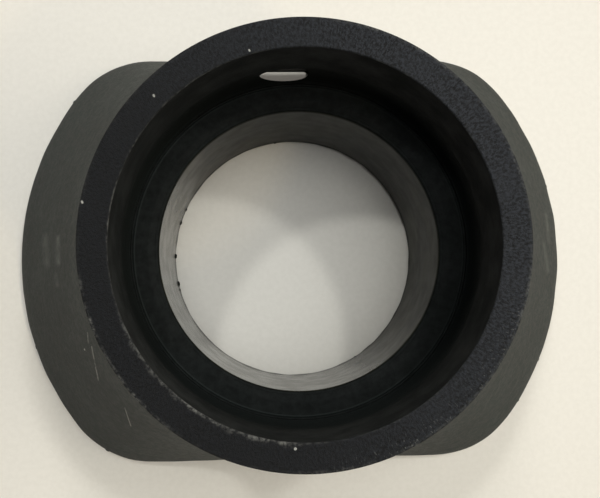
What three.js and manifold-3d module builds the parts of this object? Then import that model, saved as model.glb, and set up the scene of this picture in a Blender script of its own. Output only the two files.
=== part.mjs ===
// Moulded rubber expansion joint: a round socket collar on a flared skirt with a round foot that has
// two flat sides. The wall is built up in layers over fabric and steel. Millimetres, +Z up, the foot on
// z = 0, the long way of the foot along X and the drain hole on the +Y side.
import * as THREE from "three";
import { mergeVertices } from "three/addons/utils/BufferGeometryUtils.js";
import Module from "manifold-3d";

const wasm = await Module();
wasm.setup();

// ---- Driving dimensions ----
const SEGMENTS = 48; // facets round the axis, the same for every ring so that layers nest
const GAP = 0.3; // clearance between neighbouring pieces

const TOTAL_HEIGHT = 74.6;
const COLLAR_RADIUS = 44;
const SOCKET_RADIUS = 38;
const SEAT_HEIGHT = 43.9;
const THROAT_RADIUS = 31.6;
const THROAT_FOOT = 3.1; // the throat ends this far above the foot's face

const FOOT_END_RADIUS = 72.4; // round ends of the foot, at +X and -X
const FOOT_HALF_WIDTH = 53.8; // flat sides of the foot, at +Y and -Y
const FOOT_CORNER_RADIUS = 25.5;
const FOOT_EDGE_HEIGHT = 4; // upright edge before the skirt starts to lean in
const FOOT_HEIGHT = 10;
const FOOT_SOLE_WIDTH = 7.4;
const SOLE_CHAMFER = 0.5;
const SKIRT_TOP = 60; // the skirt runs into the round collar here
const FLARE = 1.25; // 1 is a straight lean, more is a hollow curve

const COVER_THICKNESS = 3.0;
const PLY_THICKNESS = 0.6;
const LINING_THICKNESS = 1.2;
const COLLAR_SQUEEZE = 0.5; // the layers lie this much closer to the surface in the collar
const SQUEEZE_FROM = 50;
const SQUEEZE_TO = 56;
const PLY_TOP = 66;
const LINING_TOP = 44.5;

const WIRE_RADIUS = 0.8;
const WIRE_SIDES = 6;
const HOOP_HEIGHTS = [18, 25, 32, 38.5];
const THROAT_HOOP_HEIGHTS = { lower: 10, upper: 24 };

const SOCKET_LINING_RADIUS = 39.4;
const SOCKET_LINING_TOP = 71.7;
const THROAT_LINER_RADIUS = 33.3;
const THROAT_TUBE_RADIUS = 36.6;
const SEAT_STACK_BOTTOM = 34.3;
const SEAT_WASHER = { bottom: 37.9, top: 39.3 };
const SEAT_EDGE = { outer: 0.8, inner: 0.4 }; // how far the seat's edges are taken down
const THROAT_LIP = { width: 1.1, below: 0.4, height: 1 }; // the chamfer, and how far it is below the seat
const COLLAR_EDGE = { outer: 0.5, inner: 0.4 };
const SOCKET_RELIEF = [
  { z: 57.5, swell: 0 },
  { z: 55, swell: 0.45 },
  { z: 51, swell: 0.6 },
  { z: 47, swell: 0.4 },
  { z: SEAT_HEIGHT + 0.6, swell: 0 },
];

const DRAIN_X = -3.2;
const DRAIN_HEIGHT = 52.1;
const DRAIN_RADIUS = 5.4;
const DRAIN_SIDES = 24;
const DRAIN_FALL = 4.2; // how steeply the hole's sill runs down and out
const CHANNEL = { low: -11, high: 4.5, outer: 49.75 }; // behind the drain hole, down to the foot
const NOTCH_HEIGHT = 7;

// ---- Materials ----
const material = (color, roughness, metalness) =>
  new THREE.MeshStandardMaterial({ color, roughness, metalness });
const coverRubber = () => material(0x363735, 0.62, 0);
const faceRubber = () => material(0x24272a, 0.7, 0);
const innerRubber = () => material(0x1b1c1c, 0.66, 0);
const throatRubber = () => material(0x50514c, 0.38, 0);
const plyFabric = () => material(0x8a7f68, 0.9, 0);
const ringSteel = () => material(0x9a9da0, 0.35, 1);

// ---- The outer form ----
// Distance from the axis to the foot's outline: a circle with two flat sides and rounded corners.
function footRadius(angle) {
  const across = Math.abs(Math.cos(angle));
  const up = Math.abs(Math.sin(angle));
  const cornerY = FOOT_HALF_WIDTH - FOOT_CORNER_RADIUS;
  const cornerX = Math.sqrt((FOOT_END_RADIUS - FOOT_CORNER_RADIUS) ** 2 - cornerY ** 2);
  const turned = Math.atan2(up, across);
  if (turned <= Math.atan2(cornerY, cornerX)) return FOOT_END_RADIUS;
  if (turned >= Math.atan2(FOOT_HALF_WIDTH, cornerX)) return FOOT_HALF_WIDTH / up;
  const along = across * cornerX + up * cornerY;
  const offAxis = cornerX ** 2 + cornerY ** 2 - FOOT_CORNER_RADIUS ** 2;
  return along + Math.sqrt(along ** 2 - offAxis);
}

// Distance from the axis to the joint's outer surface at a height.
function outerRadius(angle, z) {
  const climbed = (z - FOOT_EDGE_HEIGHT) / (SKIRT_TOP - FOOT_EDGE_HEIGHT);
  const left = 1 - Math.min(Math.max(climbed, 0), 1);
  return COLLAR_RADIUS + (footRadius(angle) - COLLAR_RADIUS) * left ** FLARE;
}

// ---- Mesh helpers ----
// A closed ring swept round the axis. radiusAt(point, angle) places each section point, and the
// section runs outer bottom, outer top, inner top, inner bottom. Rising and falling faces split along
// the same diagonal, so that the facing sides of two layers stay parallel.
function ringGeometry(section, radiusAt) {
  const position = [];
  const index = [];
  const count = section.length;
  for (let i = 0; i < SEGMENTS; i++) {
    const angle = (2 * Math.PI * i) / SEGMENTS;
    for (const point of section) {
      const r = radiusAt(point, angle);
      position.push(r * Math.cos(angle), r * Math.sin(angle), point.z);
    }
  }
  for (let i = 0; i < SEGMENTS; i++) {
    const next = (i + 1) % SEGMENTS;
    for (let j = 0; j < count; j++) {
      const above = (j + 1) % count;
      const a = i * count + j;
      const b = next * count + j;
      const c = next * count + above;
      const d = i * count + above;
      if (section[above].z < section[j].z) index.push(a, b, d, b, c, d);
      else index.push(a, b, c, a, c, d);
    }
  }
  const geometry = new THREE.BufferGeometry();
  geometry.setAttribute("position", new THREE.Float32BufferAttribute(position, 3));
  geometry.setIndex(index);
  geometry.computeVertexNormals();
  return geometry;
}

// A round ring from a section of { r, z } points.
const roundRing = (section) => ringGeometry(section, (point) => point.r);

// A ring whose section points lie a depth inside the outer surface.
const surfaceRing = (section) =>
  ringGeometry(section, (point, angle) => outerRadius(angle, point.z) - point.depth);

const box = (inner, outer, bottom, top) => [
  { r: outer, z: bottom },
  { r: outer, z: top },
  { r: inner, z: top },
  { r: inner, z: bottom },
];

function wireSection(z, place) {
  const points = [];
  for (let i = 0; i < WIRE_SIDES; i++) {
    const turn = (2 * Math.PI * i) / WIRE_SIDES;
    points.push(place(WIRE_RADIUS * Math.cos(turn), z + WIRE_RADIUS * Math.sin(turn)));
  }
  return points;
}

function toSolid(geometry) {
  const bare = geometry.clone();
  bare.deleteAttribute("normal");
  bare.deleteAttribute("uv");
  const merged = mergeVertices(bare, 1e-4);
  return new wasm.Manifold(
    new wasm.Mesh({
      numProp: 3,
      vertProperties: new Float32Array(merged.attributes.position.array),
      triVerts: new Uint32Array(merged.index.array),
    }),
  );
}

function toGeometry(solid) {
  const mesh = solid.getMesh();
  const geometry = new THREE.BufferGeometry();
  geometry.setAttribute("position", new THREE.BufferAttribute(mesh.vertProperties, 3));
  geometry.setIndex(new THREE.BufferAttribute(mesh.triVerts, 1));
  geometry.computeVertexNormals();
  return geometry;
}

const without = (geometry, ...cutters) =>
  toGeometry(cutters.reduce((solid, cutter) => solid.subtract(toSolid(cutter)), toSolid(geometry)));

// A block between two corners, as a cutter.
function block(low, high) {
  const size = high.map((value, axis) => value - low[axis]);
  const geometry = new THREE.BoxGeometry(...size);
  geometry.translate(...low.map((value, axis) => value + size[axis] / 2));
  return geometry;
}

// ---- The layered wall ----
// Depth of a layer's face: the stack lies a little closer to the surface in the collar.
const depthAt = (depth, z) => {
  const share = (z - SQUEEZE_FROM) / (SQUEEZE_TO - SQUEEZE_FROM);
  return depth - COLLAR_SQUEEZE * Math.min(Math.max(share, 0), 1);
};

const OUTER_PLY_DEPTH = COVER_THICKNESS + GAP;
const INNER_PLY_DEPTH = OUTER_PLY_DEPTH + PLY_THICKNESS + GAP;
const LINING_DEPTH = INNER_PLY_DEPTH + PLY_THICKNESS + GAP;
const WALL_BOTTOM = FOOT_HEIGHT + GAP;

const outerFace = (rows, depth) => rows.map((z) => ({ z, depth: depthAt(depth, z) }));
const innerFace = (rows, depth) => outerFace(rows, depth).reverse();

// A layer of the skirt wall, cut away where the drain channel runs down its inside.
function wallLayer(rows, depth, thickness) {
  const layer = surfaceRing([...outerFace(rows, depth), ...innerFace(rows, depth + thickness)]);
  return without(
    layer,
    block([CHANNEL.low, 0, -1], [CHANNEL.high, CHANNEL.outer + COVER_THICKNESS, SKIRT_TOP]),
  );
}

const HOOP_DEPTH = COVER_THICKNESS - WIRE_RADIUS - 0.1;

// The cover is grooved on its inner face for the body hoops.
function skirtCover() {
  const rows = [WALL_BOTTOM, ...HOOP_HEIGHTS, SQUEEZE_FROM, SQUEEZE_TO, SKIRT_TOP];
  const inner = [
    { z: SKIRT_TOP, depth: depthAt(COVER_THICKNESS, SKIRT_TOP) },
    { z: SQUEEZE_TO, depth: depthAt(COVER_THICKNESS, SQUEEZE_TO) },
    { z: SQUEEZE_FROM, depth: COVER_THICKNESS },
  ];
  const groove = WIRE_RADIUS + GAP;
  for (const z of [...HOOP_HEIGHTS].reverse()) {
    inner.push({ z: z + groove, depth: COVER_THICKNESS });
    inner.push({ z: z + groove, depth: HOOP_DEPTH - groove });
    inner.push({ z: z - groove, depth: HOOP_DEPTH - groove });
    inner.push({ z: z - groove, depth: COVER_THICKNESS });
  }
  inner.push({ z: WALL_BOTTOM, depth: COVER_THICKNESS });
  return surfaceRing([...rows.map((z) => ({ z, depth: 0 })), ...inner]);
}

const bodyHoop = (z) =>
  surfaceRing(wireSection(z, (out, height) => ({ z: height, depth: HOOP_DEPTH - out })));

// ---- The foot ----
const BEAD_DEPTH = 1.6;
const BEAD_HEIGHT = FOOT_HEIGHT - WIRE_RADIUS - 0.1;

// The foot carries the bead ring in a groove in its top, and is notched where the drain runs out.
function footRim() {
  const groove = WIRE_RADIUS + GAP;
  const wallDepth = LINING_DEPTH + LINING_THICKNESS;
  const rim = surfaceRing([
    { z: 0, depth: SOLE_CHAMFER },
    { z: SOLE_CHAMFER, depth: 0 },
    { z: FOOT_EDGE_HEIGHT, depth: 0 },
    { z: FOOT_HEIGHT, depth: 0 },
    { z: FOOT_HEIGHT, depth: BEAD_DEPTH - groove },
    { z: BEAD_HEIGHT - groove, depth: BEAD_DEPTH - groove },
    { z: BEAD_HEIGHT - groove, depth: BEAD_DEPTH + groove },
    { z: FOOT_HEIGHT, depth: BEAD_DEPTH + groove },
    { z: FOOT_HEIGHT, depth: wallDepth },
    { z: 0, depth: FOOT_SOLE_WIDTH },
  ]);
  return without(
    rim,
    block([CHANNEL.low, 0, -1], [CHANNEL.high, CHANNEL.outer, FOOT_HEIGHT + 1]),
    block([CHANNEL.low, 0, -1], [CHANNEL.high, FOOT_END_RADIUS, NOTCH_HEIGHT]),
  );
}

const footBead = () =>
  surfaceRing(wireSection(BEAD_HEIGHT, (out, height) => ({ z: height, depth: BEAD_DEPTH - out })));

// ---- The collar ----
const COLLAR_COVER_INNER = COLLAR_RADIUS - COVER_THICKNESS + COLLAR_SQUEEZE;
const BAND = { inner: 41.8, outer: 42.8, bottom: 61.2, top: 65.4 };

// The collar's rubber: a ring that closes over the layers and makes the whole ground top face.
function collarCover() {
  const cap = SOCKET_LINING_RADIUS + GAP;
  return roundRing([
    { r: COLLAR_RADIUS, z: SKIRT_TOP + GAP },
    { r: COLLAR_RADIUS, z: TOTAL_HEIGHT - COLLAR_EDGE.outer },
    { r: COLLAR_RADIUS - COLLAR_EDGE.outer, z: TOTAL_HEIGHT },
    { r: SOCKET_RADIUS + COLLAR_EDGE.inner, z: TOTAL_HEIGHT },
    { r: SOCKET_RADIUS, z: TOTAL_HEIGHT - COLLAR_EDGE.inner },
    { r: SOCKET_RADIUS, z: SOCKET_LINING_TOP + GAP },
    { r: cap, z: SOCKET_LINING_TOP + GAP },
    { r: cap, z: PLY_TOP + GAP },
    { r: COLLAR_COVER_INNER, z: PLY_TOP + GAP },
    { r: COLLAR_COVER_INNER, z: BAND.top + GAP },
    { r: BAND.outer + GAP, z: BAND.top + GAP },
    { r: BAND.outer + GAP, z: BAND.bottom - GAP },
    { r: COLLAR_COVER_INNER, z: BAND.bottom - GAP },
    { r: COLLAR_COVER_INNER, z: SKIRT_TOP + GAP },
  ]);
}

const collarBand = () => roundRing(box(BAND.inner, BAND.outer, BAND.bottom, BAND.top));

// Filler rubber that closes the wedge between the skirt wall and the socket wall.
function rootFiller() {
  const bottom = LINING_TOP + GAP;
  const top = SQUEEZE_TO + 1;
  const rows = [bottom - 1, SQUEEZE_FROM, SQUEEZE_TO, top + 1];
  const spare = 6; // the block starts this much too wide, and the wall's form trims it
  const wall = surfaceRing([...outerFace(rows, -2 * spare), ...innerFace(rows, LINING_DEPTH)]);
  return without(
    roundRing(box(SOCKET_LINING_RADIUS + GAP, COLLAR_RADIUS + spare, bottom, top)),
    wall,
    block([CHANNEL.low, 0, 0], [CHANNEL.high, FOOT_END_RADIUS, TOTAL_HEIGHT]),
  );
}

// ---- The socket, seat and throat ----
// The drain hole goes straight out, and its sill falls away outside so that water runs off it.
function drainCutters() {
  const through = new THREE.CylinderGeometry(DRAIN_RADIUS, DRAIN_RADIUS, SOCKET_RADIUS, DRAIN_SIDES);
  through.translate(DRAIN_X, SOCKET_RADIUS, DRAIN_HEIGHT);
  const reach = 3;
  const sill = new THREE.CylinderGeometry(DRAIN_RADIUS, DRAIN_RADIUS, reach, DRAIN_SIDES);
  sill.translate(0, reach / 2, 0);
  sill.applyMatrix4(new THREE.Matrix4().makeShear(0, 0, 0, -DRAIN_FALL, 0, 0));
  sill.translate(DRAIN_X, SOCKET_RADIUS, DRAIN_HEIGHT);
  return [through, sill];
}

// The socket wall swells out a little in its lower half, and holds the drain hole.
function socketLining() {
  const lining = roundRing([
    { r: SOCKET_LINING_RADIUS, z: SEAT_STACK_BOTTOM },
    { r: SOCKET_LINING_RADIUS, z: SOCKET_LINING_TOP },
    { r: SOCKET_RADIUS, z: SOCKET_LINING_TOP },
    ...SOCKET_RELIEF.map(({ z, swell }) => ({ r: SOCKET_RADIUS + swell, z })),
    { r: SOCKET_RADIUS, z: SEAT_STACK_BOTTOM },
  ]);
  return without(lining, ...drainCutters());
}

const STACK_INNER = THROAT_LINER_RADIUS + GAP;
const STACK_OUTER = SOCKET_RADIUS - GAP;

const seatPad = () =>
  roundRing([
    { r: STACK_OUTER, z: SEAT_WASHER.top + GAP },
    { r: STACK_OUTER, z: SEAT_HEIGHT - SEAT_EDGE.outer },
    { r: STACK_OUTER - 0.3 * SEAT_EDGE.outer, z: SEAT_HEIGHT - 0.3 * SEAT_EDGE.outer },
    { r: STACK_OUTER - SEAT_EDGE.outer, z: SEAT_HEIGHT },
    { r: STACK_INNER + SEAT_EDGE.inner, z: SEAT_HEIGHT },
    { r: STACK_INNER, z: SEAT_HEIGHT - SEAT_EDGE.inner },
    { r: STACK_INNER, z: SEAT_WASHER.top + GAP },
  ]);

const seatWasher = () =>
  roundRing(box(STACK_INNER, STACK_OUTER, SEAT_WASHER.bottom, SEAT_WASHER.top));

const seatUnderpad = () =>
  roundRing(box(STACK_INNER, STACK_OUTER, SEAT_STACK_BOTTOM, SEAT_WASHER.bottom - GAP));

// The smooth sleeve that lines the throat, with a chamfered lip.
const throatLiner = () =>
  roundRing([
    { r: THROAT_LINER_RADIUS, z: THROAT_FOOT },
    { r: THROAT_LINER_RADIUS, z: SEAT_HEIGHT - THROAT_LIP.below },
    { r: THROAT_RADIUS + THROAT_LIP.width, z: SEAT_HEIGHT - THROAT_LIP.below },
    { r: THROAT_RADIUS, z: SEAT_HEIGHT - THROAT_LIP.below - THROAT_LIP.height },
    { r: THROAT_RADIUS, z: THROAT_FOOT },
  ]);

const THROAT_WIRE_RADIUS = STACK_INNER + WIRE_RADIUS + 0.1;

// The throat's rubber tube, grooved on its inside for two wire hoops.
function throatTube() {
  const groove = WIRE_RADIUS + GAP;
  const top = SEAT_STACK_BOTTOM - GAP;
  const section = [
    { r: THROAT_TUBE_RADIUS, z: THROAT_FOOT },
    { r: THROAT_TUBE_RADIUS, z: top },
    { r: STACK_INNER, z: top },
  ];
  for (const z of [THROAT_HOOP_HEIGHTS.upper, THROAT_HOOP_HEIGHTS.lower]) {
    section.push({ r: STACK_INNER, z: z + groove });
    section.push({ r: THROAT_WIRE_RADIUS + groove, z: z + groove });
    section.push({ r: THROAT_WIRE_RADIUS + groove, z: z - groove });
    section.push({ r: STACK_INNER, z: z - groove });
  }
  section.push({ r: STACK_INNER, z: THROAT_FOOT });
  return roundRing(section);
}

const throatHoop = (z) =>
  roundRing(wireSection(z, (out, height) => ({ z: height, r: THROAT_WIRE_RADIUS + out })));

// ---- Assembly ----
const joint = new THREE.Group();

function add(parent, name, geometry, finish) {
  const mesh = new THREE.Mesh(geometry, finish);
  mesh.name = name;
  parent.add(mesh);
}

const foot = new THREE.Group();
add(foot, "foot_rim", footRim(), coverRubber());
add(foot, "foot_bead_ring", footBead(), ringSteel());
joint.add(foot);

const skirtRows = [WALL_BOTTOM, ...HOOP_HEIGHTS];
const plyRows = [...skirtRows, SQUEEZE_FROM, SQUEEZE_TO, SKIRT_TOP, PLY_TOP];
const liningRows = [...skirtRows, LINING_TOP];
const skirt = new THREE.Group();
add(skirt, "skirt_cover", skirtCover(), coverRubber());
add(skirt, "skirt_ply_outer", wallLayer(plyRows, OUTER_PLY_DEPTH, PLY_THICKNESS), plyFabric());
add(skirt, "skirt_ply_inner", wallLayer(plyRows, INNER_PLY_DEPTH, PLY_THICKNESS), plyFabric());
add(skirt, "skirt_lining", wallLayer(liningRows, LINING_DEPTH, LINING_THICKNESS), innerRubber());
HOOP_HEIGHTS.forEach((z, i) => add(skirt, `body_hoop_${i + 1}`, bodyHoop(z), ringSteel()));
joint.add(skirt);

const collar = new THREE.Group();
add(collar, "collar_cover", collarCover(), faceRubber());
add(collar, "collar_band", collarBand(), ringSteel());
add(collar, "root_filler", rootFiller(), innerRubber());
add(collar, "socket_lining", socketLining(), innerRubber());
add(collar, "seat_pad", seatPad(), innerRubber());
add(collar, "seat_washer", seatWasher(), ringSteel());
add(collar, "seat_underpad", seatUnderpad(), innerRubber());
add(collar, "throat_liner", throatLiner(), throatRubber());
add(collar, "throat_tube", throatTube(), innerRubber());
for (const [place, z] of Object.entries(THROAT_HOOP_HEIGHTS)) {
  add(collar, `throat_hoop_${place}`, throatHoop(z), ringSteel());
}
joint.add(collar);

export default joint;
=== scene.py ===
"""Looks of the rubber expansion joint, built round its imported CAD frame. Metres, +Z up."""

import math

import bmesh
import bpy
import numpy as np
from mathutils import Matrix, Vector, noise


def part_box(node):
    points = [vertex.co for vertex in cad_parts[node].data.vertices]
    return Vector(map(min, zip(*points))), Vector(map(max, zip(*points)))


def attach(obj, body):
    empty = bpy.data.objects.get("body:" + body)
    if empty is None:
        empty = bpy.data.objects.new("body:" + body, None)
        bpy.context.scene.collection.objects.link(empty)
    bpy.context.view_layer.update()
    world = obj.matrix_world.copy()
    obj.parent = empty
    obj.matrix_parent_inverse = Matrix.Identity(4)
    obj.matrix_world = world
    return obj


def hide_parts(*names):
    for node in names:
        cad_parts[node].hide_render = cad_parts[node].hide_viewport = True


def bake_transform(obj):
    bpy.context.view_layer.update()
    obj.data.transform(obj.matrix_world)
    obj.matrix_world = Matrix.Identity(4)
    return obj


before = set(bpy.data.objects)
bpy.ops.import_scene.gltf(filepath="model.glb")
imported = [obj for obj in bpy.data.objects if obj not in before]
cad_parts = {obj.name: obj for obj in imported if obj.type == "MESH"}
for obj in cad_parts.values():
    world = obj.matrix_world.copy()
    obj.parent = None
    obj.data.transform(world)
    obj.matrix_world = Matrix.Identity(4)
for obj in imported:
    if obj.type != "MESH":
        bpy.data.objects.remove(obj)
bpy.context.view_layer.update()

MM = 0.001

# ---- Sizes, from the frame ----
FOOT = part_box("foot_rim")[1]
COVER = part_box("skirt_cover")
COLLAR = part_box("collar_cover")
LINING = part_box("skirt_lining")
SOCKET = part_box("socket_lining")
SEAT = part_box("seat_pad")
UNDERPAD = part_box("seat_underpad")
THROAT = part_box("throat_liner")
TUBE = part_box("throat_tube")
HOOP_HEIGHTS = [
    (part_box(f"body_hoop_{i}")[0].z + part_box(f"body_hoop_{i}")[1].z) / 2 for i in (1, 2, 3, 4)
]
FOOT_TOP = FOOT.z
TOTAL_HEIGHT = COLLAR[1].z
COLLAR_RADIUS = COLLAR[1].x
SKIRT_TOP = COVER[1].z
SEAT_HEIGHT = SEAT[1].z
GAP = 0.3 * MM

# ---- Sizes that the frame's boxes don't show ----
SOCKET_RADIUS = 38.0 * MM
THROAT_RADIUS = 31.6 * MM
FOOT_CORNER_RADIUS = 25.5 * MM
FOOT_EDGE_HEIGHT = 4 * MM
FOOT_SOLE_WIDTH = 7.4 * MM
FLARE = 1.25
COVER_THICKNESS = 3.0 * MM
PLY_THICKNESS = 0.6 * MM
LINING_THICKNESS = 1.2 * MM
LAYER_SQUEEZE = 0.5 * MM
SQUEEZE_FROM = 50 * MM
SQUEEZE_TO = 56 * MM
WIRE_RADIUS = 0.8 * MM
BEAD_DEPTH = 1.6 * MM
BEAD_GROOVE = WIRE_RADIUS + 0.2 * MM
DRAIN_X = -3.2 * MM
DRAIN_HEIGHT = 52.1 * MM
DRAIN_RADIUS = 5.4 * MM
DRAIN_FALL = 4.2  # how far the hole's sill runs down for each step out
CHANNEL_LOW = -11 * MM
CHANNEL_HIGH = 4.5 * MM
CHANNEL_OUTER = 49.75 * MM
NOTCH_HEIGHT = 7 * MM
RELIEF_TOP = 57.5 * MM
LIP_RADIUS = 0.9 * MM
SEAT_GROOVE = 0.8 * MM
SOCKET_SWELL = 0.55 * MM
RAGGED_DEPTH = 0.3 * MM  # how far the foot's edge wanders, and over what height and in how many lumps
RAGGED_FADE = 3 * MM
RAGGED_LUMPS = 11
THROAT_RAGGED_DEPTH = 0.24 * MM
THROAT_RAGGED_LUMPS = 9

OUTER_PLY_DEPTH = COVER_THICKNESS + GAP
INNER_PLY_DEPTH = OUTER_PLY_DEPTH + PLY_THICKNESS + GAP
LINING_DEPTH = INNER_PLY_DEPTH + PLY_THICKNESS + GAP

# ---- How fine the meshes are ----
# Facets round the axis: what shows, what shows only through a hole or from below, and the layers inside
FINE = 288
MEDIUM = 144
COARSE = 96
ARC_STEPS = 6
ARC_SHARE = 0.49  # an arc takes no more than this share of either edge

# ---- Camera: millimetres and degrees ----
CAMERA_LENS = 54
CAMERA_SENSOR = 36
CAMERA_PLACE = Vector((-9.31, -9.74, 246.45)) * MM
CAMERA_LEAN_X = 2.83
CAMERA_LEAN_Y = -2.64
CAMERA_ROLL = -0.95

# ---- Table and light ----
TABLE_SIZE = 3.0
TABLE_DULL = (0.71, 0.676, 0.616)
TABLE_CLEAN = (0.738, 0.704, 0.644)
ROOM_COLOR = (1.0, 0.97, 0.93)
ROOM_GLOW = 0.07
LAMPS = [
    # name, azimuth and elevation in degrees, distance and size in metres, glow, colour
    ("ceiling", 25, 80, 1.5, 0.95, 0.5, (0.98, 1.0, 0.985)),
    ("lamp_east", 41, 66, 1.6, 0.08, 0.14, (0.98, 1.0, 0.96)),
    ("lamp_west", 123, 66, 1.6, 0.08, 0.15, (0.98, 1.0, 0.97)),
    ("lamp_warm", -44, 55, 1.6, 0.14, 0.08, (1.0, 0.82, 0.5)),
    ("side", 2, 33, 1.5, 0.8, 0.17, (1.0, 0.93, 0.8)),
    ("north", 92, 30, 1.5, 0.4, 0.14, (1.0, 0.97, 0.93)),
]


# ---- The camera ----
def make_camera():
    """The camera is over the joint, a little to the -X and -Y side of its axis, and leans back to it."""
    data = bpy.data.cameras.new("camera")
    data.lens = CAMERA_LENS
    data.sensor_width = CAMERA_SENSOR
    camera = bpy.data.objects.new("camera", data)
    roll = Matrix.Rotation(math.radians(CAMERA_ROLL), 4, "Z")
    lean_y = Matrix.Rotation(math.radians(CAMERA_LEAN_Y), 4, "Y")
    lean_x = Matrix.Rotation(math.radians(CAMERA_LEAN_X), 4, "X")
    camera.matrix_world = roll @ Matrix.Translation(CAMERA_PLACE) @ lean_y @ lean_x
    bpy.context.scene.collection.objects.link(camera)
    bpy.context.scene.camera = camera


# ---- The outer form ----
def foot_radius(angle):
    """Distance from the axis to the foot's outline: a circle with two flat sides and round corners."""
    across, up = abs(math.cos(angle)), abs(math.sin(angle))
    corner_y = FOOT.y - FOOT_CORNER_RADIUS
    corner_x = math.sqrt((FOOT.x - FOOT_CORNER_RADIUS) ** 2 - corner_y**2)
    turned = math.atan2(up, across)
    if turned <= math.atan2(corner_y, corner_x):
        return FOOT.x
    if turned >= math.atan2(FOOT.y, corner_x):
        return FOOT.y / up
    along = across * corner_x + up * corner_y
    off_axis = corner_x**2 + corner_y**2 - FOOT_CORNER_RADIUS**2
    return along + math.sqrt(along**2 - off_axis)


def outer_radius(angle, z):
    """Distance from the axis to the joint's outer surface at a height."""
    climbed = (z - FOOT_EDGE_HEIGHT) / (SKIRT_TOP - FOOT_EDGE_HEIGHT)
    left = 1 - min(max(climbed, 0), 1)
    return COLLAR_RADIUS + (foot_radius(angle) - COLLAR_RADIUS) * left**FLARE


def squeezed(depth, z):
    """The layers lie a little closer to the surface in the collar."""
    share = (z - SQUEEZE_FROM) / (SQUEEZE_TO - SQUEEZE_FROM)
    return depth - LAYER_SQUEEZE * min(max(share, 0), 1)


# ---- Mesh helpers ----
def rounded(corners, step):
    """A closed outline with each corner (u, z, radius) turned into an arc, and long edges divided."""
    points = []
    count = len(corners)
    for i, (u, z, radius) in enumerate(corners):
        here = Vector((u, z))
        before = Vector(corners[i - 1][:2]) - here
        after = Vector(corners[(i + 1) % count][:2]) - here
        if radius <= 0:
            points.append(here)
            continue
        half = before.angle(after) / 2
        reach = min(radius / math.tan(half), before.length * ARC_SHARE, after.length * ARC_SHARE)
        first = here + before.normalized() * reach
        last = here + after.normalized() * reach
        for j in range(ARC_STEPS + 1):
            t = j / ARC_STEPS
            points.append(first * (1 - t) ** 2 + here * 2 * t * (1 - t) + last * t**2)
    outline = []
    for a, b in zip(points, points[1:] + points[:1]):
        parts = max(1, math.ceil((b - a).length / step - 0.01))
        outline += [a.lerp(b, k / parts) for k in range(parts)]
    return outline


def object_of(name, vertices, faces, materials):
    """A mesh object from lists of points and faces, in the scene."""
    mesh = bpy.data.meshes.new(name)
    mesh.from_pydata(vertices, [], faces)
    made = bpy.data.objects.new(name, mesh)
    bpy.context.scene.collection.objects.link(made)
    for material in materials:
        mesh.materials.append(material)
    return made


def finish_mesh(made, paint=None, sharp=35):
    """Smooth shading with sharp creases, the resting place of each point, and a material for each face."""
    mesh = made.data
    mesh.polygons.foreach_set("use_smooth", [True] * len(mesh.polygons))
    mesh.set_sharp_from_angle(angle=math.radians(sharp))
    rest = mesh.attributes.get("rest") or mesh.attributes.new("rest", "FLOAT_VECTOR", "POINT")
    places = np.empty(len(mesh.vertices) * 3, np.float32)
    mesh.vertices.foreach_get("co", places)
    rest.data.foreach_set("vector", places)
    if paint:
        for face in mesh.polygons:
            face.material_index = paint(face.center, face.normal)
    return made


def ring(name, corners, place, materials, step=1.0 * MM, segments=FINE):
    """A closed ring swept round the axis: place(u, z, angle) is a section point's distance from it."""
    outline = rounded(corners, step)
    vertices = []
    for i in range(segments):
        angle = 2 * math.pi * i / segments
        for u, z in outline:
            r = place(u, z, angle)
            vertices.append((r * math.cos(angle), r * math.sin(angle), z))
    count = len(outline)
    faces = []
    for i in range(segments):
        a, b = i * count, (i + 1) % segments * count
        for j in range(count):
            k = (j + 1) % count
            faces.append((a + j, b + j, b + k, a + k))
    return object_of(name, vertices, faces, materials)


def round_place(u, _z, _angle):
    """Section points given by their distance from the axis."""
    return u


def skin_place(u, z, angle):
    """Section points given by their depth inside the outer surface."""
    return outer_radius(angle, z) - u


def layer_place(u, z, angle):
    """The same for the layers inside, which squeeze up in the collar."""
    return outer_radius(angle, z) - squeezed(u, z)


def block(low, high):
    """A cutter: a box between two corners."""
    (x0, y0, z0), (x1, y1, z1) = low, high
    corners = [(x, y, z) for z in (z0, z1) for y in (y0, y1) for x in (x0, x1)]
    faces = [(0, 2, 3, 1), (4, 5, 7, 6), (0, 1, 5, 4), (2, 6, 7, 3), (0, 4, 6, 2), (1, 3, 7, 5)]
    return object_of("cutter", corners, faces, [])


def rod(x, z, radius, y0, y1, fall=0.0, sides=48):
    """A cutter: a round rod along Y, whose far end is lower by fall."""
    vertices = []
    for y, drop in ((y0, 0), (y1, fall)):
        for i in range(sides):
            turn = 2 * math.pi * i / sides
            vertices.append((x + radius * math.cos(turn), y, z - drop + radius * math.sin(turn)))
    faces = [(i, (i + 1) % sides, sides + (i + 1) % sides, sides + i) for i in range(sides)]
    faces += [tuple(reversed(range(sides))), tuple(range(sides, 2 * sides))]
    return object_of("cutter", vertices, faces, [])


def cut(made, cutter):
    """Takes the cutter's solid out of a piece."""
    face_outwards(cutter)
    modifier = made.modifiers.new("cut", "BOOLEAN")
    modifier.operation = "DIFFERENCE"
    modifier.solver = "EXACT"
    modifier.object = cutter
    depsgraph = bpy.context.evaluated_depsgraph_get()
    mesh = bpy.data.meshes.new_from_object(made.evaluated_get(depsgraph))
    made.modifiers.clear()
    made.data = mesh
    bpy.data.objects.remove(cutter)


def face_outwards(made):
    """Turns a cutter's faces outwards."""
    work = bmesh.new()
    work.from_mesh(made.data)
    bmesh.ops.recalc_face_normals(work, faces=work.faces)
    work.to_mesh(made.data)
    work.free()


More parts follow.
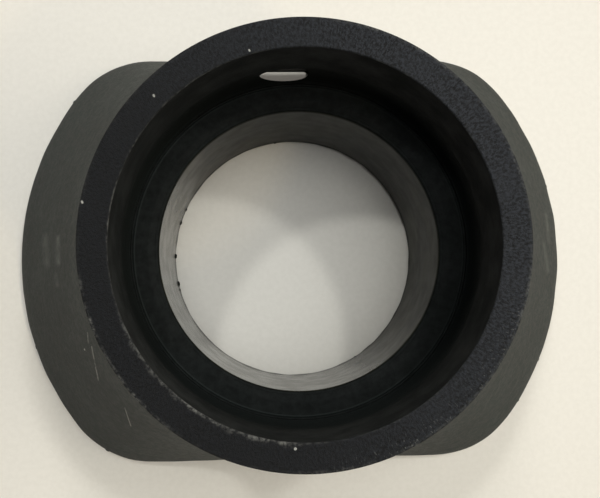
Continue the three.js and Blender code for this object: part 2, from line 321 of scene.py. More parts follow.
# ---- Material helpers ----
class Shader:
    """A node material with a Principled surface, built by short calls."""

    def __init__(self, name, color, roughness, attribute=True, **sockets):
        self.material = bpy.data.materials.new(name)
        self.material.use_nodes = True
        self.nodes = self.material.node_tree.nodes
        self.links = self.material.node_tree.links
        self.surface = self.nodes["Principled BSDF"]
        self.surface.inputs["Base Color"].default_value = (*color, 1)
        self.surface.inputs["Roughness"].default_value = roughness
        for socket, value in sockets.items():
            self.surface.inputs[socket.replace("_", " ")].default_value = value
        if attribute:
            place = self.nodes.new("ShaderNodeAttribute")
            place.attribute_name = "rest"
            self.place = place.outputs["Vector"]
        else:
            self.place = self.nodes.new("ShaderNodeTexCoord").outputs["Object"]

    def link(self, value, socket):
        """Sets a socket from a number, or links it to another socket."""
        if isinstance(value, (int, float)):
            socket.default_value = value
        else:
            self.links.new(value, socket)

    def math(self, operation, a, b=0.0):
        node = self.nodes.new("ShaderNodeMath")
        node.operation = operation
        self.link(a, node.inputs[0])
        self.link(b, node.inputs[1])
        return node.outputs[0]

    def times(self, *values):
        """The product of two or more masks or numbers."""
        product = values[0]
        for value in values[1:]:
            product = self.math("MULTIPLY", product, value)
        return product

    def noise(self, scale, detail=3.0, roughness=0.55, vector=None):
        node = self.nodes.new("ShaderNodeTexNoise")
        node.inputs["Scale"].default_value = scale
        node.inputs["Detail"].default_value = detail
        node.inputs["Roughness"].default_value = roughness
        self.links.new(vector or self.place, node.inputs["Vector"])
        return node.outputs["Fac"]

    def vector(self, operation, a, b=None, output="Vector"):
        """Vector maths: each operand is a socket or three numbers."""
        node = self.nodes.new("ShaderNodeVectorMath")
        node.operation = operation
        for value, socket in zip((a, b), node.inputs):
            if isinstance(value, tuple):
                socket.default_value = value
            elif value is not None:
                self.links.new(value, socket)
        return node.outputs[output]

    def scaled_vector(self, vector, factor):
        """Three numbers times a socket."""
        node = self.nodes.new("ShaderNodeVectorMath")
        node.operation = "SCALE"
        node.inputs["Vector"].default_value = vector
        self.links.new(factor, node.inputs["Scale"])
        return node.outputs["Vector"]

    def stretched(self, scale):
        """The place on the object, with each direction scaled."""
        return self.vector("MULTIPLY", self.place, scale)

    def parts(self):
        """The x, y and z of the place on the object."""
        node = self.nodes.new("ShaderNodeSeparateXYZ")
        self.links.new(self.place, node.inputs[0])
        return node.outputs

    def joined(self, x, y, z):
        node = self.nodes.new("ShaderNodeCombineXYZ")
        for value, socket in zip((x, y, z), node.inputs):
            self.link(value, socket)
        return node.outputs[0]

    def ramp(self, value, low, high, to_low=0.0, to_high=1.0):
        """value from low to high becomes to_low to to_high, with soft ends."""
        node = self.nodes.new("ShaderNodeMapRange")
        node.interpolation_type = "SMOOTHSTEP"
        ends = {"From Min": low, "From Max": high, "To Min": to_low, "To Max": to_high}
        for socket, number in ends.items():
            node.inputs[socket].default_value = number
        self.link(value, node.inputs["Value"])
        return node.outputs["Result"]

    def lifted(self, mask, least):
        """A mask that is nowhere under least."""
        return self.ramp(mask, 0.0, 1.0, least, 1.0)

    def mix(self, share, a, b):
        """A colour between a and b: each is a socket or three numbers."""
        node = self.nodes.new("ShaderNodeMix")
        node.data_type = "RGBA"
        self.link(share, node.inputs["Factor"])
        for value, socket in zip((a, b), (node.inputs["A"], node.inputs["B"])):
            if isinstance(value, tuple):
                socket.default_value = (*value, 1)
            else:
                self.links.new(value, socket)
        return node.outputs["Result"]

    def color(self, value):
        self.links.new(value, self.surface.inputs["Base Color"])

    def roughness(self, value):
        self.links.new(value, self.surface.inputs["Roughness"])

    def bump(self, *heights):
        """Relief from (height, depth in metres) pairs."""
        normal = None
        for height, depth in heights:
            node = self.nodes.new("ShaderNodeBump")
            node.inputs["Distance"].default_value = depth
            self.link(height, node.inputs["Height"])
            if normal:
                self.links.new(normal, node.inputs["Normal"])
            normal = node.outputs["Normal"]
        self.links.new(normal, self.surface.inputs["Normal"])


# ---- Materials ----
# Colours of wear and dust
SCUFFED = (0.2, 0.21, 0.19)
SCRATCHED = (0.28, 0.28, 0.26)
CHIPPED = (0.17, 0.17, 0.155)
WORN = (0.2, 0.2, 0.185)
BURRED = (0.2, 0.2, 0.19)
SKIN_DUST = (0.5, 0.5, 0.46)
FACE_DUST = (0.4, 0.4, 0.37)
SOCKET_DUST = (0.2, 0.2, 0.19)
BLOOM = (0.019, 0.0195, 0.0085)  # the throat's greenish cast
TARNISH = (0.3, 0.27, 0.23)

# Heights between which a tone comes or goes
# Heights of the painted highlight on the skirt's shoulder
SHOULDER_FROM = 37 * MM
SHOULDER_TO = 42 * MM
# Heights of the painted light that greys the socket wall low down against its corner's shade, and of the
# seat edge's painted highlight
CORNER_LIGHT_NONE = 61 * MM
CORNER_LIGHT_FULL = 52 * MM
SEAT_LIGHT_NONE = SEAT_HEIGHT + 0.2 * MM
SEAT_LIGHT_FULL = SEAT_HEIGHT + 1.1 * MM
EDGE_TOP = SEAT_HEIGHT + 2.1 * MM

PLY_RADIUS = 55 * MM  # where the weave of the plies is measured round the axis
THREAD_PITCH = 0.9 * MM

SCRATCHES = [
    # start and end in plan, mm, then half the width
    ((-47.3, -21.0), (-47.1, -29.2), 0.28),
    ((-48.0, -17.8), (-48.3, -20.2), 0.2),
    ((-40.6, -35.5), (-40.3, -40.6), 0.2),
]
SCUFFS = [
    # the same, then how strong
    ((-57.1, 4.2), (-57.0, -1.3), 1.5, 0.55),
    ((-62.4, 4.8), (-61.4, -1.0), 2.2, 0.26),
    ((-57.9, -4.4), (-57.7, -6.6), 1.1, 0.35),
    ((67.2, 10.0), (67.7, 3.3), 1.5, 0.35),
    ((64.7, 1.8), (66.7, -4.7), 1.4, 0.3),
]
DUST_LUMPS = [
    # place in plan on the top face, and size, mm
    ((-29.0, 28.7), 0.3),
    ((-42.7, 8.4), 0.3),
    ((-10.6, 37.4), 0.24),
]


def scaled(color, factor):
    """A colour made brighter or darker."""
    return tuple(c * factor for c in color)


def specks(s, scale, share, size):
    """A mask of sparse tiny dots, as bits of dust: a share of the cells of a pattern has one."""
    cells = s.nodes.new("ShaderNodeTexVoronoi")
    cells.inputs["Scale"].default_value = scale
    s.links.new(s.place, cells.inputs["Vector"])
    near = s.math("LESS_THAN", cells.outputs["Distance"], size)
    shade = s.nodes.new("ShaderNodeSeparateColor")
    s.links.new(cells.outputs["Color"], shade.inputs[0])
    chosen = s.math("LESS_THAN", shade.outputs[0], share)
    return s.times(near, chosen)


def mark(s, start, end, width, broken=0.5, core=0.3, grain=900, soft=0.1):
    """A mask of one pale line between two points in plan (x, y in mm).

    width is half the line's width in mm, and core the share of it with full strength. Noise of the
    scale grain breaks the line up: more of it goes as broken rises, and soft blurs where."""
    start, end = Vector((*start, 0)) * MM, Vector((*end, 0)) * MM
    way = tuple((end - start).normalized())
    flat = s.joined(*s.parts()[:2], 0.0)
    offset = s.vector("SUBTRACT", flat, tuple(start))
    along = s.vector("DOT_PRODUCT", offset, way, "Value")
    along = s.math("MINIMUM", s.math("MAXIMUM", along, 0.0), (end - start).length)
    nearest = s.scaled_vector(way, along)
    away = s.vector("LENGTH", s.vector("SUBTRACT", offset, nearest), output="Value")
    line = s.ramp(away, width * MM, width * MM * core)
    return s.times(line, s.ramp(s.noise(grain, 3, 0.6), broken - soft, broken + soft))


def any_of(s, masks):
    """The strongest of several masks, place by place."""
    total = masks[0]
    for mask in masks[1:]:
        total = s.math("MAXIMUM", total, mask)
    return total


def polar(s):
    """The distance from the axis and the angle round it."""
    x, y, _z = s.parts()
    distance = s.math("SQRT", s.math("ADD", s.times(x, x), s.times(y, y)))
    return distance, s.math("ARCTAN2", y, x)


def facing(s, angle, degrees):
    """1 towards a direction, -1 away from it."""
    return s.math("COSINE", s.math("SUBTRACT", angle, math.radians(degrees)))


def towards(s, angle, degrees, spread):
    """A mask of the side that faces a direction: full in the inner half of its spread to each side."""
    edge, full = math.cos(math.radians(spread)), math.cos(math.radians(spread * 0.5))
    return s.ramp(facing(s, angle, degrees), edge, full)


def scuffs(s):
    """Broad soft rubbed patches, each with its own strength."""
    return any_of(s, [
        s.times(mark(s, start, end, width, broken=0.5, core=0.0, grain=260, soft=0.4), strength)
        for start, end, width, strength in SCUFFS
    ])


def dust_lumps(s):
    """Lumps of dust on the top face, each a very short mark."""
    return any_of(s, [
        mark(s, (x, y), (x + 0.1, y - 0.2), size, broken=0.2)
        for (x, y), size in DUST_LUMPS
    ])


def rim_chips(s, angle, z):
    """Small chips just below the collar's top edge, most of them on two sides."""
    rim = s.ramp(z, TOTAL_HEIGHT - 1.6 * MM, TOTAL_HEIGHT - 0.2 * MM)
    chipped = s.ramp(s.noise(420, 5, 0.7), 0.53, 0.62)
    side = any_of(s, [towards(s, angle, degrees=205, spread=46), towards(s, angle, degrees=-50, spread=60)])
    return s.times(rim, chipped, s.lifted(side, 0.25))


def cover_rubber():
    """Moulded skin: fine mottle, a few scratches and scuffs where it has rubbed, dust, and a painted
    highlight on one side of its shoulder under the collar.
    """
    base = (0.0136, 0.0176, 0.0158)
    s = Shader("cover_rubber", base, 0.6, Specular_IOR_Level=0.22)
    _distance, angle = polar(s)
    z = s.parts()[2]
    mottle = s.ramp(s.noise(650, 6, 0.75), 0.3, 0.72)
    cloud = s.ramp(s.noise(90, 5, 0.65), 0.38, 0.68)
    # Painted highlight: a lighter band high on the skirt, on the side facing 190 degrees.
    shoulder_highlight = s.times(s.ramp(z, SHOULDER_FROM, SHOULDER_TO), towards(s, angle, degrees=190, spread=80))
    cuts = any_of(s, [mark(s, *scratch, broken=0.42) for scratch in SCRATCHES])
    tone = s.mix(mottle, scaled(base, 0.35), scaled(base, 1.75))
    tone = s.mix(s.times(cloud, 0.34), tone, scaled(base, 2.0))
    tone = s.mix(s.times(shoulder_highlight, 0.35), tone, scaled(base, 2.2))
    tone = s.mix(scuffs(s), tone, SCUFFED)
    tone = s.mix(s.times(cuts, 0.6), tone, SCRATCHED)
    tone = s.mix(s.times(rim_chips(s, angle, z), 0.5), tone, CHIPPED)
    tone = s.mix(s.times(specks(s, 240, share=0.02, size=0.07), 0.7), tone, SKIN_DUST)
    s.color(tone)
    s.roughness(s.ramp(mottle, 0.0, 1.0, 0.52, 0.66))
    s.bump((s.noise(1300, 5, 0.65), 0.07 * MM), (s.noise(300, 3), 0.06 * MM))
    return s.material


def outer_edge_wear(s, distance, angle):
    """Pale chips on the face's outer edge: two short stretches, and fainter ones on two wide sides."""
    edge = s.ramp(distance, COLLAR_RADIUS - 0.9 * MM, COLLAR_RADIUS - 0.3 * MM)
    side = any_of(s, [
        towards(s, angle, degrees=219, spread=16),
        towards(s, angle, degrees=196, spread=10),
        s.times(towards(s, angle, degrees=-48, spread=60), 0.5),
        s.times(towards(s, angle, degrees=42, spread=50), 0.45),
    ])
    chipped = s.ramp(s.noise(330, 4, 0.7), 0.38, 0.52)
    return s.times(edge, s.lifted(side, 0.1), chipped)


def inner_edge_wear(s, distance, angle):
    """A pale frayed border at the socket's edge, widest on one side."""
    rubbed = towards(s, angle, degrees=236, spread=42)
    frayed = s.ramp(s.noise(420, 4, 0.7), 0.3, 0.7, 0.35 * MM, 1.5 * MM)
    reach = s.times(frayed, s.lifted(rubbed, 0.3))
    edge = s.ramp(s.math("DIVIDE", s.math("SUBTRACT", distance, SOCKET_RADIUS), reach), 1.0, 0.1)
    side = any_of(s, [rubbed, s.times(towards(s, angle, degrees=170, spread=70), 0.6)])
    return s.times(edge, s.lifted(side, 0.3))


def burrs(s, distance, angle, around):
    """Fine pale flecks near the outer edge on one side, as grinding leaves."""
    streaked = s.joined(around, s.times(distance, 0.3), 0.0)
    flecks = s.ramp(s.noise(3200, 3, 0.6, streaked), 0.6, 0.7)
    zone = s.ramp(distance, SOCKET_RADIUS + 1.5 * MM, COLLAR_RADIUS - 0.5 * MM)
    return s.times(flecks, s.times(towards(s, angle, degrees=-48, spread=42), zone))


def face_rubber():
    """The ground top face: fine grain, painted shade that darkens it away from one side, and edges worn
    pale.
    """
    base = (0.0128, 0.0142, 0.0172)
    s = Shader("face_rubber", base, 0.65, Specular_IOR_Level=0.19)
    distance, angle = polar(s)
    around = s.times(angle, (COLLAR_RADIUS + SOCKET_RADIUS) / 2)
    ground = s.joined(around, s.times(distance, 0.6), 0.0)
    grain = s.noise(2100, 5, 0.75, ground)
    coarse = s.ramp(s.noise(1300, 4, 0.7, ground), 0.44, 0.64, 0.0, 0.3)
    cloud = s.ramp(s.noise(90, 3), 0.4, 0.7, 0.0, 0.3)
    # Painted shade: the face is darkened away from 25 degrees, as if less light falls there.
    painted_shade_side = s.ramp(facing(s, angle, 25), 0.95, -0.7, 0.0, 0.72)
    tone = s.mix(s.ramp(grain, 0.4, 0.62), scaled(base, 0.1), scaled(base, 2.1))
    tone = s.mix(coarse, tone, scaled(base, 2.1))
    tone = s.mix(cloud, tone, scaled(base, 1.7))
    tone = s.mix(painted_shade_side, tone, scaled(base, 0.1))
    rubbed = s.ramp(s.noise(1100, 5, 0.7), 0.38, 0.62)
    patchy = s.ramp(s.noise(120, 3, 0.6), 0.42, 0.62)
    broken = s.times(rubbed, s.lifted(patchy, 0.5))
    edges = any_of(s, [outer_edge_wear(s, distance, angle), inner_edge_wear(s, distance, angle)])
    tone = s.mix(s.times(edges, broken, 0.62), tone, WORN)
    tone = s.mix(s.times(burrs(s, distance, angle, around), 0.6), tone, BURRED)
    tone = s.mix(s.times(specks(s, 330, share=0.045, size=0.1), 0.8), tone, FACE_DUST)
    tone = s.mix(s.times(dust_lumps(s), 0.8), tone, FACE_DUST)
    s.color(tone)
    s.roughness(s.ramp(grain, 0.3, 0.75, 0.52, 0.72))
    s.bump((grain, 0.28 * MM), (s.noise(2600, 3, 0.6), 0.08 * MM))
    return s.material


def inner_rubber():
    """Dark matt rubber, evenly fine, with a few specks of dust; painted light greys the socket wall low
    down against the shade of its corner, and a painted highlight lies on the seat's edge.
    """
    base = (0.0064, 0.0077, 0.0074)
    s = Shader("inner_rubber", base, 0.65, Specular_IOR_Level=0.06)
    distance, angle = polar(s)
    z = s.parts()[2]
    # Painted light: the socket wall is greyed low down, above the seat, to lift the shade of its corner.
    corner_light = s.times(s.ramp(z, CORNER_LIGHT_NONE, CORNER_LIGHT_FULL), s.ramp(z, SEAT_LIGHT_NONE, SEAT_LIGHT_FULL))
    # Painted highlight: a pale line at the seat's outer edge, strongest on the side facing 215 degrees.
    off_edge = s.math("ABSOLUTE", s.math("SUBTRACT", distance, SOCKET_RADIUS - SEAT_GROOVE))
    edge = s.times(s.ramp(off_edge, 0.4 * MM, 0.1 * MM), s.ramp(z, EDGE_TOP, SEAT_LIGHT_FULL))
    edge = s.times(edge, s.lifted(towards(s, angle, degrees=215, spread=120), 0.45))
    tone = s.mix(s.ramp(s.noise(700, 5, 0.7), 0.32, 0.7), scaled(base, 0.7), scaled(base, 1.4))
    tone = s.mix(s.times(corner_light, 0.8), tone, scaled(base, 2.0))
    tone = s.mix(s.times(edge, 0.6), tone, scaled(base, 3.6))
    tone = s.mix(s.times(specks(s, 230, share=0.012, size=0.07), 0.4), tone, SOCKET_DUST)
    s.color(tone)
    s.roughness(s.ramp(s.noise(120, 3), 0.3, 0.7, 0.55, 0.7))
    s.bump((s.noise(1700, 4, 0.6), 0.05 * MM))
    return s.material


def throat_rubber():
    """The throat's smooth satin rubber, drawn along its length, and polished most on one side."""
    base = (0.0088, 0.0096, 0.0068)
    s = Shader("throat_rubber", base, 0.3, Specular_IOR_Level=0.3)
    _distance, angle = polar(s)
    drawn = s.noise(700, 4, 0.6, s.stretched((1.0, 1.0, 0.35)))
    cloud = s.ramp(s.noise(70, 3), 0.42, 0.66, 0.0, 0.7)
    tone = s.mix(s.ramp(drawn, 0.35, 0.7), scaled(base, 0.75), scaled(base, 1.3))
    s.color(s.mix(cloud, tone, BLOOM))
    polish = s.ramp(facing(s, angle, 228), -0.75, 0.9)
    patchy = s.times(s.ramp(s.noise(200, 3), 0.3, 0.7, -1.0, 1.0), 0.04)
    s.roughness(s.math("ADD", s.ramp(polish, 0.0, 1.0, 0.55, 0.2), patchy))
    s.bump((drawn, 0.012 * MM), (s.noise(1500, 3), 0.01 * MM))
    return s.material


def ply_fabric():
    """Rubber-coated woven cord: two crossed sets of threads."""
    base = (0.2, 0.165, 0.11)
    s = Shader("ply_fabric", base, 0.85)
    _distance, angle = polar(s)
    around = s.times(angle, PLY_RADIUS)
    waves = []
    for sign in (1, -1):
        slant = s.math("ADD", around, s.times(s.parts()[2], sign))
        waves.append(s.math("SINE", s.times(slant, 2 * math.pi / THREAD_PITCH)))
    weave = s.ramp(s.math("MAXIMUM", *waves), -0.2, 1.0)
    s.color(s.mix(weave, scaled(base, 0.35), base))
    s.bump((weave, 0.15 * MM))
    return s.material


def ring_steel():
    """Drawn steel, with fine lines and a little tarnish."""
    base = (0.5, 0.51, 0.52)
    s = Shader("ring_steel", base, 0.34, attribute=False, Metallic=1.0)
    s.color(s.mix(s.ramp(s.noise(160, 4), 0.4, 0.72), base, TARNISH))
    lines = s.noise(2500, 2, 0.5, s.stretched((0.1, 0.1, 1.0)))
    s.roughness(s.ramp(lines, 0.3, 0.7, 0.26, 0.44))
    s.bump((lines, 0.02 * MM))
    return s.material


MATERIALS = {
    "cover_rubber": cover_rubber(),
    "face_rubber": face_rubber(),
    "inner_rubber": inner_rubber(),
    "throat_rubber": throat_rubber(),
    "ply_fabric": ply_fabric(),
    "ring_steel": ring_steel(),
}


# ---- The skirt: five stretches between the hoops ----
LEVELS = [FOOT_TOP, *HOOP_HEIGHTS, LINING[1].z + GAP]
BODIES = ["foot", "hoop_1", "hoop_2", "hoop_3", "hoop_4", "collar"]


def channel_cutter():
    """The drain's channel runs down the inside of the skirt at +Y."""
    return block((CHANNEL_LOW, 0, -MM), (CHANNEL_HIGH, CHANNEL_OUTER + COVER_THICKNESS, SKIRT_TOP))


def stretch(piece, i):
    """Bakes a piece of the skirt's placing into its mesh; the piece is not bent."""
    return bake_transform(piece)


def skirt_layer(node, slot, depth, thickness, bottom, top, place, segments, channel):
    """One layer of the wall as stretches: what reaches past the last of them rides on the collar."""
    levels = [bottom, *LEVELS[1:], top] if top > LEVELS[-1] else [bottom, *LEVELS[1:-1], top]
    inside = depth + thickness
    for i, (low, high) in enumerate(zip(levels, levels[1:])):
        corners = [(depth, low, 0), (depth, high, 0), (inside, high, 0), (inside, low, 0)]
        piece = ring(f"{node}_{i + 1}", corners, place, [MATERIALS[slot]], 1.2 * MM, segments)
        if channel and low < SKIRT_TOP:
            cut(piece, channel_cutter())
        finish_mesh(piece)
        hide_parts(node)
        if i < len(BODIES) - 1:
            stretch(piece, i)
        else:
            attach(piece, "collar")


def make_skirt():
    """The cover, the two plies and the lining, from the outside in."""
    skirt_layer(
        "skirt_cover", "cover_rubber", 0, COVER_THICKNESS, FOOT_TOP, LEVELS[-1],
        skin_place, FINE, channel=False,
    )
    for node, depth in (("skirt_ply_outer", OUTER_PLY_DEPTH), ("skirt_ply_inner", INNER_PLY_DEPTH)):
        skirt_layer(
            node, "ply_fabric", depth, PLY_THICKNESS, FOOT_TOP + GAP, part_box(node)[1].z,
            layer_place, COARSE, channel=True,
        )
    skirt_layer(
        "skirt_lining", "inner_rubber", LINING_DEPTH, LINING_THICKNESS, FOOT_TOP + GAP, LINING[1].z,
        layer_place, MEDIUM, channel=True,
    )


# ---- The foot ----
def wobble(angle, lumps):
    """A smooth random height from 0 to 1 round the axis: the larger lumps is, the finer it goes."""
    return 0.5 + 0.5 * noise.noise(Vector((math.cos(angle), math.sin(angle), 0)) * lumps)


def ragged_place(u, z, angle):
    """The foot's edge wanders in a little, as rough-trimmed rubber does."""
    if u >= 0.5 * MM:
        return outer_radius(angle, z) - u
    low = min(max((FOOT_EDGE_HEIGHT + RAGGED_FADE - z) / RAGGED_FADE, 0), 1)
    return outer_radius(angle, z) - u - RAGGED_DEPTH * wobble(angle, RAGGED_LUMPS) * low


def make_foot():
    """The rubber rim, with the groove for its bead of wire, the drain's channel and the notch."""
    groove_start, groove_end = BEAD_DEPTH - BEAD_GROOVE, BEAD_DEPTH + BEAD_GROOVE
    groove_bottom = FOOT_TOP - 2 * BEAD_GROOVE
    corners = [
        (0, 0, 0.35 * MM),
        (0, FOOT_EDGE_HEIGHT, 0),
        (0, FOOT_TOP, 0),
        (groove_start, FOOT_TOP, 0),
        (groove_start, groove_bottom, 0),
        (groove_end, groove_bottom, 0),
        (groove_end, FOOT_TOP, 0),
        (LINING_DEPTH + LINING_THICKNESS, FOOT_TOP, 0),
        (FOOT_SOLE_WIDTH, 0, 0.8 * MM),
    ]
    piece = ring("foot_rim_rubber", corners, ragged_place, [MATERIALS["cover_rubber"]], 1.0 * MM)
    cut(piece, block((CHANNEL_LOW, 0, -MM), (CHANNEL_HIGH, CHANNEL_OUTER, FOOT_TOP + MM)))
    cut(piece, block((CHANNEL_LOW, 0, -MM), (CHANNEL_HIGH, FOOT.x, NOTCH_HEIGHT)))
    finish_mesh(piece)
    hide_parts("foot_rim")
    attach(piece, "foot")


# ---- Flash: nibs of rubber left on the moulded edges, each with its angle in degrees and size in mm ----
FOOT_NIBS = [
    (143.7, 0.8), (198.4, 0.7), (225, 0.9), (30.4, 0.6),
    (14.9, 0.9), (-12, 0.6), (-23.4, 0.7), (-33.2, 0.8),
]
THROAT_NIBS = [
    (155, 0.5), (162, 0.6), (178.6, 0.65), (192.2, 0.75),
    (195.2, 0.4), (98, 0.5), (248, 0.35), (301, 0.35),
]
SEAT_NIB = (229.7, 0.4)
NIB_HEIGHT = 0.6  # how far a nib stands out, as a share of its length along the edge
NIB_ROUGHNESS = 0.35


def make_nib(name, body, slot, angle, distance, z, size):
    """A small lump, longer along the edge than it stands out."""
    out = Vector((math.cos(angle), math.sin(angle), 0))
    along = Vector((-out.y, out.x, 0))
    up = Vector((0, 0, 1))
    middle = out * distance + up * z
    rings, sides = 7, 12
    vertices = []
    for i in range(rings + 1):
        tilt = math.pi * i / rings
        for j in range(sides):
            turn = 2 * math.pi * j / sides
            way = Vector((math.sin(tilt) * math.cos(turn), math.sin(tilt) * math.sin(turn), math.cos(tilt)))
            rough = 1 + NIB_ROUGHNESS * noise.noise(way * 1.7 + middle * 900)
            offset = along * way.x + out * way.y * NIB_HEIGHT + up * way.z * NIB_HEIGHT
            vertices.append(middle + offset * size * rough)
    faces = []
    for i in range(rings):
        a, b = i * sides, (i + 1) * sides
        for j in range(sides):
            k = (j + 1) % sides
            faces.append((a + j, b + j, b + k, a + k))
    nib = object_of(name, vertices, faces, [MATERIALS[slot]])
    merge_poles(nib)
    finish_mesh(nib, sharp=80)
    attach(nib, body)


def merge_poles(made):
    """Joins the points that lie on each other at a nib's two ends."""
    work = bmesh.new()
    work.from_mesh(made.data)
    bmesh.ops.remove_doubles(work, verts=work.verts, dist=0.001 * MM)
    work.to_mesh(made.data)
    work.free()


def make_nibs():
    """Nibs on the foot's edge, on the throat's lower edge and one at the seat's outer edge."""
    for i, (degrees, size) in enumerate(FOOT_NIBS):
        angle = math.radians(degrees)
        reach = foot_radius(angle) - NIB_ROUGHNESS * size * MM
        height = FOOT_EDGE_HEIGHT - 0.8 * MM
        make_nib(f"foot_nib_{i + 1}", "foot", "cover_rubber", angle, reach, height, size * MM)
    for i, (degrees, size) in enumerate(THROAT_NIBS):
        angle = math.radians(degrees)
        height = THROAT[0].z + 0.5 * MM
        make_nib(f"throat_nib_{i + 1}", "collar", "inner_rubber", angle, THROAT_RADIUS, height, size * MM)
    degrees, size = SEAT_NIB
    reach = SOCKET_RADIUS - SEAT_GROOVE
    make_nib("seat_nib", "collar", "inner_rubber", math.radians(degrees), reach, SEAT_HEIGHT, size * MM)


# ---- The collar ----
def make_collar():
    """The collar's rubber, from the top of the skirt over the ground face and down the socket wall."""
    bottom = LEVELS[-1]
    skin = SOCKET_RADIUS + 0.4 * MM  # it runs down over the socket lining as a thin skin
    lining_top = SOCKET[1].z + GAP
    cap = SOCKET[1].x + GAP
    ply_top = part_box("skirt_ply_outer")[1].z + GAP
    inner = COLLAR_RADIUS - COVER_THICKNESS + LAYER_SQUEEZE

    def place(u, z, angle):
        """Outside the lining the section leans with the skirt, and inside it is round."""
        if u > inner - 0.05 * MM:
            return u + outer_radius(angle, z) - COLLAR_RADIUS
        return u

    corners = [
        (COLLAR_RADIUS, bottom, 0),
        (COLLAR_RADIUS, TOTAL_HEIGHT, 0.45 * MM),
        (SOCKET_RADIUS, TOTAL_HEIGHT, 0.4 * MM),
        (SOCKET_RADIUS, RELIEF_TOP, 0),
        (skin, RELIEF_TOP, 0),
        (skin, lining_top, 0),
        (cap, lining_top, 0),
        (cap, ply_top, 0),
        (inner, ply_top, 0),
        (inner, bottom, 0),
    ]
    names = ("cover_rubber", "face_rubber", "inner_rubber")
    piece = ring("collar_rubber", corners, place, [MATERIALS[n] for n in names], 0.8 * MM)

    def paint(center, _normal):
        """The cover outside, the ground face on top, and the inner rubber in the socket."""
        if center.z > TOTAL_HEIGHT - 0.5 * MM:
            return 1
        return 0 if math.hypot(center.x, center.y) > inner + 0.5 * MM else 2

    finish_mesh(piece, paint)
    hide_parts("collar_cover")
    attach(piece, "collar")


def make_root_filler():
    """The wedge between the skirt wall and the socket wall."""
    inner = SOCKET[1].x + GAP
    bottom, top = LEVELS[-1], SQUEEZE_TO + MM
    drawn = 5 * MM  # the section is drawn this wide, then fitted between the two walls

    def place(u, z, angle):
        outside = outer_radius(angle, z) - squeezed(LINING_DEPTH, z)
        return inner + u / drawn * max(outside - inner, 0.02 * MM)

    corners = [(drawn, bottom, 0), (drawn, top, 0), (0, top, 0), (0, bottom, 0)]
    piece = ring("root_filler_rubber", corners, place, [MATERIALS["inner_rubber"]], 1.0 * MM, MEDIUM)
    cut(piece, block((CHANNEL_LOW, 0, 0), (CHANNEL_HIGH, FOOT.x, TOTAL_HEIGHT)))
    finish_mesh(piece)
    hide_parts("root_filler")
    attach(piece, "collar")


# ---- The socket, seat and throat ----
def make_socket():
    """The socket wall below the collar's skin: it swells out a little, and holds the drain hole."""
    inner, outer = SOCKET_RADIUS, SOCKET[1].x
    bottom, top = SOCKET[0].z, SOCKET[1].z
    foot_of_wall = SEAT_HEIGHT + 0.6 * MM
    middle = (foot_of_wall + RELIEF_TOP) / 2
    behind_skin = inner + 0.7 * MM
    ledge = RELIEF_TOP - 0.2 * MM

    def place(u, z, _angle):
        if u > inner + 0.1 * MM or not foot_of_wall < z < RELIEF_TOP:
            return u
        swell = math.cos(math.pi * (z - middle) / (RELIEF_TOP - foot_of_wall)) ** 0.6
        return u + SOCKET_SWELL * swell

    corners = [
        (outer, bottom, 0),
        (outer, top, 0),
        (behind_skin, top, 0),
        (behind_skin, ledge, 0),
        (inner, ledge, 0.1 * MM),
        (inner, bottom, 0),
    ]
    piece = ring("socket_wall", corners, place, [MATERIALS["inner_rubber"]], 0.6 * MM)
    cut(piece, rod(DRAIN_X, DRAIN_HEIGHT, DRAIN_RADIUS, inner - 8 * MM, inner + 12 * MM))
    sill, run = inner - 0.1 * MM, 3 * MM
    cut(piece, rod(DRAIN_X, DRAIN_HEIGHT, DRAIN_RADIUS, sill, sill + run, run * DRAIN_FALL))
    finish_mesh(piece)
    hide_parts("socket_lining")
    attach(piece, "collar")


def round_piece(name, node, slot, corners, step=0.8 * MM):
    """A round ring that stands for one node and rides on the collar."""
    piece = ring(name, corners, round_place, [MATERIALS[slot]], step)
    finish_mesh(piece)
    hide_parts(node)
    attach(piece, "collar")


def make_seat():
    """The seat: a groove parts it from the socket wall, and its inner edge slopes to the throat."""
    inner, outer = THROAT_RADIUS + LIP_RADIUS, SOCKET_RADIUS + 0.05 * MM
    low, high = SEAT[0].z, SEAT[1].z
    against_wall, groove_bottom = high + 0.75 * MM, high - 0.3 * MM
    corners = [
        (outer, low, 0),
        (outer, against_wall, 0),
        (outer - 0.1 * MM, against_wall, 0),
        (outer - 0.2 * MM, groove_bottom, 0.2 * MM),
        (outer - 0.6 * MM, groove_bottom, 0.2 * MM),
        (outer - SEAT_GROOVE, high, 0.2 * MM),
        (inner + 1.5 * MM, high, 2 * MM),
        (inner, high - 0.35 * MM, 0.2 * MM),
        (inner, low + 2 * MM, 0),
        (THROAT[1].x + GAP, low, 0),
    ]
    round_piece("seat_rubber", "seat_pad", "inner_rubber", corners, 0.4 * MM)


def make_underpad():
    """The plain ring of rubber under the seat's washer."""
    outer, inner = SEAT[1].x, THROAT[1].x + GAP
    low, high = UNDERPAD[0].z, UNDERPAD[1].z
    corners = [(outer, low, 0.5 * MM), (outer, high, 0), (inner, high, 0), (inner, low, 0)]
    round_piece("seat_underpad_rubber", "seat_underpad", "inner_rubber", corners)


def make_throat():
    """The sleeve, with a rounded lip that is dull on top, and a ragged lower edge."""
    low, high = THROAT[0].z, THROAT[1].z

    def place(u, z, angle):
        if u > THROAT_RADIUS + 0.2 * MM or z > low + MM:
            return u
        return u - THROAT_RAGGED_DEPTH * wobble(angle, THROAT_RAGGED_LUMPS)

    corners = [
        (THROAT[1].x, low, 0.3 * MM),
        (THROAT[1].x, high, 0.2 * MM),
        (THROAT_RADIUS, high, LIP_RADIUS),
        (THROAT_RADIUS, low, 0.1 * MM),
    ]
    materials = [MATERIALS["throat_rubber"], MATERIALS["inner_rubber"]]
    piece = ring("throat_sleeve", corners, place, materials, 0.5 * MM)
    finish_mesh(piece, lambda _center, normal: 1 if normal.z > 0.75 else 0)
    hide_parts("throat_liner")
    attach(piece, "collar")


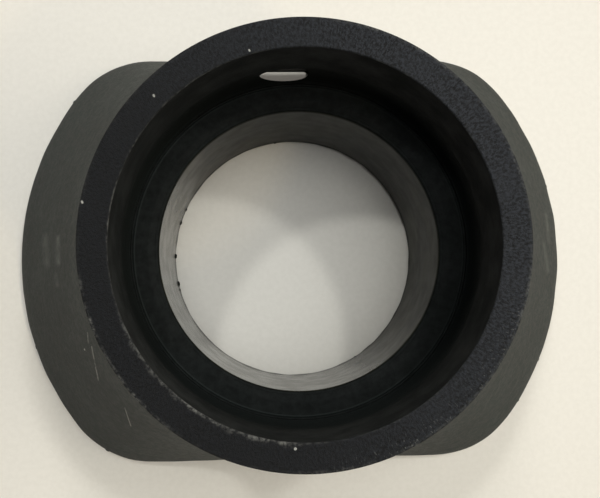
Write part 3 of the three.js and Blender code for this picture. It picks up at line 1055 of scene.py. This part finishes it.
def make_throat_tube():
    """The tube round the sleeve, with a groove on its inside for each of its two wire hoops."""
    inside = THROAT[1].x + GAP
    low, high = TUBE[0].z, TUBE[1].z
    corners = [(TUBE[1].x, low, 0.6 * MM), (TUBE[1].x, high, 0), (inside, high, 0)]
    groove_outer = inside + 0.1 * MM + 2 * WIRE_RADIUS + GAP
    for node in ("throat_hoop_upper", "throat_hoop_lower"):
        box_low, box_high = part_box(node)
        middle = (box_low.z + box_high.z) / 2
        top, bottom = middle + WIRE_RADIUS + GAP, middle - WIRE_RADIUS - GAP
        groove = ((inside, top), (groove_outer, top), (groove_outer, bottom), (inside, bottom))
        corners += [(u, z, 0) for u, z in groove]
    corners.append((inside, low, 0.3 * MM))
    round_piece("throat_tube_rubber", "throat_tube", "inner_rubber", corners, 1.5 * MM)


# ---- The steel ----
def paint_steel():
    """The CAD's steel rings are round wire and strip already: they stay, and take the steel's material."""
    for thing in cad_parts.values():
        if thing.hide_render:
            continue
        thing.data.materials.clear()
        thing.data.materials.append(MATERIALS["ring_steel"])


# ---- Floor and light ----
def make_floor():
    """A plain table top that goes on past the view."""
    s = Shader("table", TABLE_DULL, 0.5, attribute=False)
    s.color(s.mix(s.ramp(s.noise(700, 3), 0.3, 0.7), TABLE_DULL, TABLE_CLEAN))
    corners = [(x * TABLE_SIZE, y * TABLE_SIZE, 0) for x, y in ((-1, -1), (1, -1), (1, 1), (-1, 1))]
    floor = object_of("table", corners, [(0, 1, 2, 3)], [s.material])


def soft_light(name, azimuth, elevation, distance, size, glow, color):
    """A soft square light that faces the joint: azimuth 0 is +X and 90 is +Y.

    glow is how bright it alone makes a white floor at the origin."""
    data = bpy.data.lights.new(name, "AREA")
    data.shape = "SQUARE"
    data.size = size
    data.energy = glow * (math.pi * distance) ** 2 / math.sin(math.radians(elevation))
    data.color = color
    lamp = bpy.data.objects.new(name, data)
    a, e = math.radians(azimuth), math.radians(elevation)
    lamp.location = Vector((math.cos(a) * math.cos(e), math.sin(a) * math.cos(e), math.sin(e))) * distance
    lamp.rotation_euler = (-lamp.location).to_track_quat("-Z", "Y").to_euler()
    bpy.context.scene.collection.objects.link(lamp)


def make_light():
    """A broad ceiling, three small lamps and two soft side lights, over an even glow."""
    world = bpy.data.worlds.new("world")
    world.use_nodes = True
    background = world.node_tree.nodes["Background"]
    background.inputs["Color"].default_value = (*ROOM_COLOR, 1)
    background.inputs["Strength"].default_value = ROOM_GLOW
    bpy.context.scene.world = world
    for lamp in LAMPS:
        soft_light(*lamp)
    bpy.context.scene.view_settings.view_transform = "Standard"


make_camera()
make_foot()
make_nibs()
make_skirt()
make_collar()
make_root_filler()
make_socket()
make_seat()
make_underpad()
make_throat()
make_throat_tube()
paint_steel()
make_floor()
make_light()
